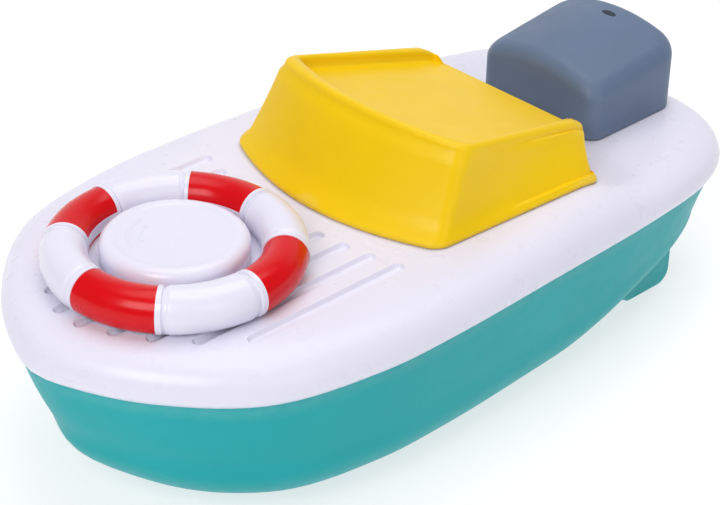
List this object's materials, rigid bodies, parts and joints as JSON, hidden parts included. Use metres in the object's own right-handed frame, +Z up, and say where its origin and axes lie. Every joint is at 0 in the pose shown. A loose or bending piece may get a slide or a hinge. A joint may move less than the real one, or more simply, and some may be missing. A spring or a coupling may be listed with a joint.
{
  "type": "wind-up toy boat",
  "caption": "Wind-up bath boat: teal hull, white ribbed deck, yellow cabin, slate motor cowl, red and white life ring that winds a spring and drives the stern propeller.",
  "frame": {"origin": "on the floor under the middle of the boat's bounding box, at the keels' foot", "axes": "+X to the bow, +Y to port, +Z up"},
  "size_m": [0.23, 0.1184, 0.081],
  "materials": {
    "teal_plastic": "satin",
    "white_plastic": "gloss",
    "yellow_plastic": "satin",
    "slate_plastic": "satin",
    "ivory_plastic": "matte",
    "gear_plastic": "satin",
    "steel": "plated",
    "brass": "turned",
    "rubber": "matte"
  },
  "bodies": {
    "hull": {"hull_shell": "teal_plastic", "rim_seal": "rubber", "deck_shell": "white_plastic", "cabin": "yellow_plastic", "motor_cowl": "slate_plastic", "shaft_seal": "rubber", "gearbox_tray": "ivory_plastic", "gearbox_lid": "ivory_plastic", "mainspring": "steel", "idler_arbor": "steel", "crown_arbor": "steel", "stern_tube": "brass", "stern_seal": "rubber", "hull_screw_1": "steel", "hull_screw_2": "steel", "hull_screw_3": "steel", "hull_screw_4": "steel", "hull_screw_5": "steel", "hull_screw_6": "steel", "cabin_screw_1": "steel", "cabin_screw_2": "steel", "cabin_screw_3": "steel", "cabin_screw_4": "steel", "cowl_screw_1": "steel", "cowl_screw_2": "steel", "gearbox_screw_1": "steel", "gearbox_screw_2": "steel", "gearbox_screw_3": "steel", "gearbox_screw_4": "steel", "lid_screw_1": "steel", "lid_screw_2": "steel", "lid_screw_3": "steel", "lid_screw_4": "steel"},
    "winder": {"life_ring": "white_plastic", "ring_cap": "white_plastic", "ring_screw": "steel", "winding_shaft": "steel", "great_wheel": "gear_plastic", "ratchet_disc": "steel"},
    "idler": {"idler_gear": "gear_plastic"},
    "crown": {"crown_gear": "gear_plastic"},
    "propeller_drive": {"propeller": "white_plastic", "propeller_shaft": "steel", "shaft_pinion": "gear_plastic"}
  },
  "joints": [
    {"name": "life_ring_turn", "type": "hinge", "parent": "hull", "child": "winder", "pos_m": [0.0684, 0, 0.0553], "axis": [0, 0, 1], "continuous": true},
    {"name": "idler_spin", "type": "hinge", "parent": "hull", "child": "idler", "pos_m": [0.0492, 0, 0.0213], "axis": [0, 0, 1], "continuous": true},
    {"name": "crown_spin", "type": "hinge", "parent": "hull", "child": "crown", "pos_m": [0.03, 0, 0.0178], "axis": [0, 0, 1], "continuous": true},
    {"name": "propeller_spin", "type": "hinge", "parent": "hull", "child": "propeller_drive", "pos_m": [-0.068, 0, 0.0123], "axis": [1, 0, 0], "continuous": true}
  ],
  "couplings": [
    {"joint": "idler_spin", "follows": "life_ring_turn", "ratio": -3},
    {"joint": "crown_spin", "follows": "life_ring_turn", "ratio": 9},
    {"joint": "propeller_spin", "follows": "life_ring_turn", "ratio": 27}
  ]
}
